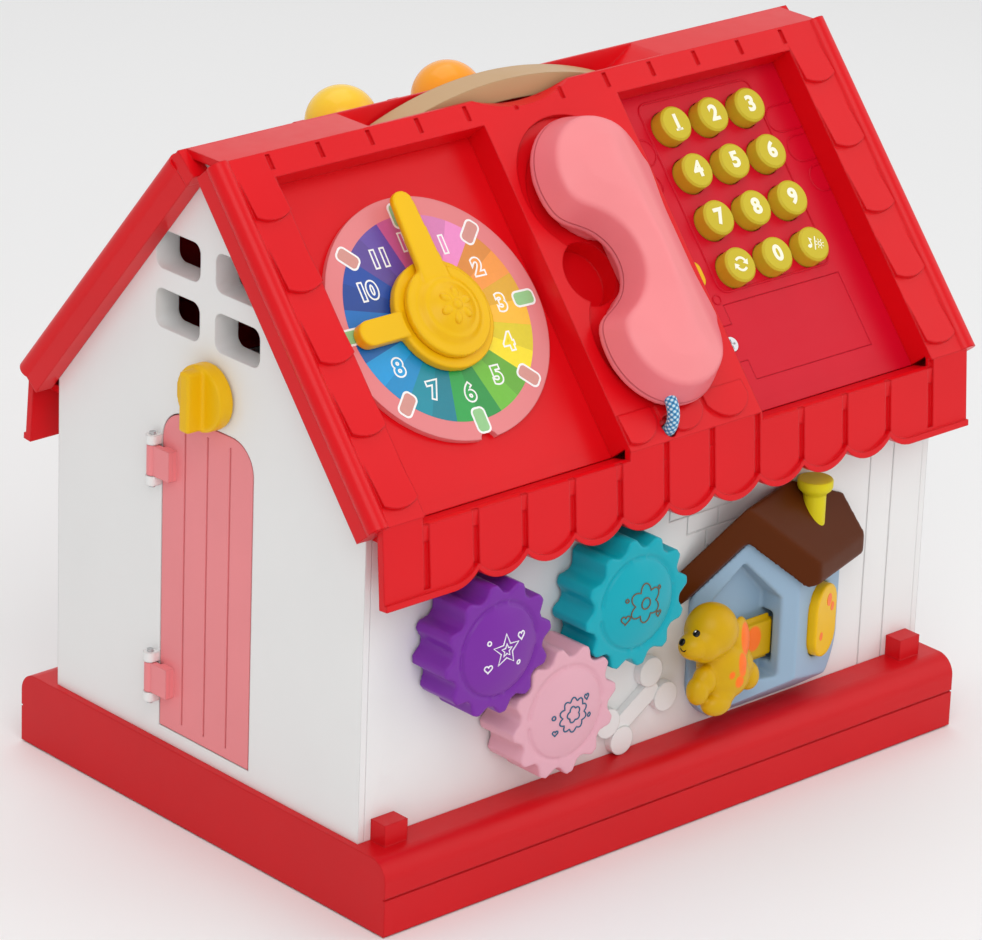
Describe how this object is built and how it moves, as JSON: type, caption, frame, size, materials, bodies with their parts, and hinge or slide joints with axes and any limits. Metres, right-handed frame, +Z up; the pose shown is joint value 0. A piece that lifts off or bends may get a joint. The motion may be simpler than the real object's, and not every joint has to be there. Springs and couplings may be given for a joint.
{
  "type": "activity house",
  "caption": "Gable-roofed toy house with turning clock hands, lift-off telephone handset, press keys, meshed gears, sliding dog, latched side door and carrying handle.",
  "frame": {"origin": "middle of the underside of the base plate", "axes": "+X along the ridge to the keypad end, -Y the front wall with the gears, +Z up"},
  "size_m": [0.317, 0.2255, 0.2747],
  "materials": {
    "roof_red": "satin",
    "panel_red": "satin",
    "wall_white": "satin",
    "handle_tan": "satin",
    "dial_print": "printed",
    "toy_yellow": "satin",
    "handset_pink": "satin",
    "cord_blue": "braided",
    "key_olive": "satin",
    "mat_grey": "matte",
    "board_green": "matte",
    "dark_plastic": "matte",
    "steel": "satin",
    "cell": "gloss",
    "purple": "satin",
    "gear_pink": "satin",
    "teal": "satin",
    "house_blue": "satin",
    "roof_brown": "satin",
    "chimney_lime": "satin",
    "dog_yellow": "satin",
    "door_pink": "satin",
    "ball_orange": "gloss",
    "ball_yellow": "gloss"
  },
  "bodies": {
    "house": {"base_tray": "roof_red", "base_plate": "roof_red", "base_screws": "steel", "front_wall": "wall_white", "back_wall": "wall_white", "left_wall": "wall_white", "right_wall": "wall_white", "roof_front": "roof_red", "roof_back": "roof_red", "handle": "handle_tan", "clock_panel": "panel_red", "clock_dial": "dial_print", "clock_spindle": "steel", "phone_cradle": "roof_red", "keypad_panel": "panel_red", "rubber_mat": "mat_grey", "circuit_board": "board_green", "battery_door": "panel_red", "battery_door_screw": "steel", "battery_box": "dark_plastic", "batteries": "cell", "battery_contacts": "steel", "speaker": "dark_plastic", "gear_pins": "wall_white", "doghouse_body": "house_blue", "doghouse_roof": "roof_brown", "doghouse_chimney": "chimney_lime", "door_hinge_pins": "steel", "ball_axle": "steel"},
    "hour_hand": {"hour_hand": "toy_yellow"},
    "minute_hand": {"minute_hand": "toy_yellow"},
    "handset": {"handset_lower": "handset_pink", "handset_upper": "handset_pink", "handset_screws": "steel", "phone_cord": "cord_blue"},
    "switch_knob": {"switch_knob": "toy_yellow"},
    "gear_purple": {"gear_purple": "purple"},
    "gear_pink": {"gear_pink": "gear_pink"},
    "gear_teal": {"gear_teal": "teal"},
    "dog": {"dog": "dog_yellow", "dog_runner": "dog_yellow"},
    "dog_button": {"dog_button": "toy_yellow"},
    "side_door": {"side_door": "door_pink"},
    "latch": {"latch_knob": "toy_yellow", "latch_cam": "dark_plastic"},
    "ball_orange": {"ball_orange": "ball_orange"},
    "ball_yellow": {"ball_yellow": "ball_yellow"},
    "key_1": {"key_1": "key_olive"},
    "key_2": {"key_2": "key_olive"},
    "key_3": {"key_3": "key_olive"},
    "key_4": {"key_4": "key_olive"},
    "key_5": {"key_5": "key_olive"},
    "key_6": {"key_6": "key_olive"},
    "key_7": {"key_7": "key_olive"},
    "key_8": {"key_8": "key_olive"},
    "key_9": {"key_9": "key_olive"},
    "key_repeat": {"key_repeat": "key_olive"},
    "key_0": {"key_0": "key_olive"},
    "key_mode": {"key_mode": "key_olive"}
  },
  "joints": [
    {"name": "key_1_press", "type": "slide", "parent": "house", "child": "key_1", "axis": [0, 0.7694, -0.6388], "range_m": [0, 0.0025], "stiffness_N_per_m": 250, "springref_m": -0.0004},
    {"name": "key_2_press", "type": "slide", "parent": "house", "child": "key_2", "axis": [0, 0.7694, -0.6388], "range_m": [0, 0.0025], "stiffness_N_per_m": 250, "springref_m": -0.0004},
    {"name": "key_3_press", "type": "slide", "parent": "house", "child": "key_3", "axis": [0, 0.7694, -0.6388], "range_m": [0, 0.0025], "stiffness_N_per_m": 250, "springref_m": -0.0004},
    {"name": "key_4_press", "type": "slide", "parent": "house", "child": "key_4", "axis": [0, 0.7694, -0.6388], "range_m": [0, 0.0025], "stiffness_N_per_m": 250, "springref_m": -0.0004},
    {"name": "key_5_press", "type": "slide", "parent": "house", "child": "key_5", "axis": [0, 0.7694, -0.6388], "range_m": [0, 0.0025], "stiffness_N_per_m": 250, "springref_m": -0.0004},
    {"name": "key_6_press", "type": "slide", "parent": "house", "child": "key_6", "axis": [0, 0.7694, -0.6388], "range_m": [0, 0.0025], "stiffness_N_per_m": 250, "springref_m": -0.0004},
    {"name": "key_7_press", "type": "slide", "parent": "house", "child": "key_7", "axis": [0, 0.7694, -0.6388], "range_m": [0, 0.0025], "stiffness_N_per_m": 250, "springref_m": -0.0004},
    {"name": "key_8_press", "type": "slide", "parent": "house", "child": "key_8", "axis": [0, 0.7694, -0.6388], "range_m": [0, 0.0025], "stiffness_N_per_m": 250, "springref_m": -0.0004},
    {"name": "key_9_press", "type": "slide", "parent": "house", "child": "key_9", "axis": [0, 0.7694, -0.6388], "range_m": [0, 0.0025], "stiffness_N_per_m": 250, "springref_m": -0.0004},
    {"name": "key_repeat_press", "type": "slide", "parent": "house", "child": "key_repeat", "axis": [0, 0.7694, -0.6388], "range_m": [0, 0.0025], "stiffness_N_per_m": 250, "springref_m": -0.0004},
    {"name": "key_0_press", "type": "slide", "parent": "house", "child": "key_0", "axis": [0, 0.7694, -0.6388], "range_m": [0, 0.0025], "stiffness_N_per_m": 250, "springref_m": -0.0004},
    {"name": "key_mode_press", "type": "slide", "parent": "house", "child": "key_mode", "axis": [0, 0.7694, -0.6388], "range_m": [0, 0.0025], "stiffness_N_per_m": 250, "springref_m": -0.0004},
    {"name": "switch_slide", "type": "slide", "parent": "house", "child": "switch_knob", "axis": [0, -0.6388, -0.7694], "range_m": [0, 0.0065]},
    {"name": "hour_hand_turn", "type": "hinge", "parent": "house", "child": "hour_hand", "pos_m": [-0.0805, -0.05329, 0.2106], "axis": [0, -0.7694, 0.6388], "continuous": true},
    {"name": "minute_hand_turn", "type": "hinge", "parent": "house", "child": "minute_hand", "pos_m": [-0.0805, -0.05329, 0.2106], "axis": [0, -0.7694, 0.6388], "continuous": true},
    {"name": "handset_lift", "type": "slide", "parent": "house", "child": "handset", "axis": [0, -0.7694, 0.6388], "range_m": [0, 0.026]},
    {"name": "gear_pink_spin", "type": "hinge", "parent": "house", "child": "gear_pink", "pos_m": [-0.0642, -0.1, 0.0665], "axis": [0, -1, 0], "continuous": true},
    {"name": "gear_purple_spin", "type": "hinge", "parent": "house", "child": "gear_purple", "pos_m": [-0.09885, -0.1, 0.10115], "axis": [0, -1, 0], "continuous": true},
    {"name": "gear_teal_spin", "type": "hinge", "parent": "house", "child": "gear_teal", "pos_m": [-0.02955, -0.1, 0.10115], "axis": [0, -1, 0], "continuous": true},
    {"name": "dog_slide", "type": "slide", "parent": "house", "child": "dog", "axis": [1, 0, 0], "range_m": [0, 0.012]},
    {"name": "button_push", "type": "slide", "parent": "house", "child": "dog_button", "axis": [0.3397, -0.9405, 0], "range_m": [0, 0.005]},
    {"name": "door_swing", "type": "hinge", "parent": "house", "child": "side_door", "pos_m": [-0.1496, 0.029, 0.1], "axis": [0, 0, -1], "range_deg": [0, 100]},
    {"name": "latch_turn", "type": "hinge", "parent": "house", "child": "latch", "pos_m": [-0.147, -0.0025, 0.1785], "axis": [1, 0, 0], "range_deg": [0, 90]},
    {"name": "ball_orange_spin", "type": "hinge", "parent": "house", "child": "ball_orange", "pos_m": [-0.007, 0.02999, 0.25793], "axis": [1, 0, 0], "continuous": true},
    {"name": "ball_yellow_spin", "type": "hinge", "parent": "house", "child": "ball_yellow", "pos_m": [-0.06, 0.02999, 0.25793], "axis": [1, 0, 0], "continuous": true}
  ],
  "couplings": [
    {"joint": "gear_purple_spin", "follows": "gear_pink_spin", "ratio": -1},
    {"joint": "gear_teal_spin", "follows": "gear_pink_spin", "ratio": -1},
    {"joint": "button_push", "follows": "dog_slide", "ratio": 0.41}
  ]
}
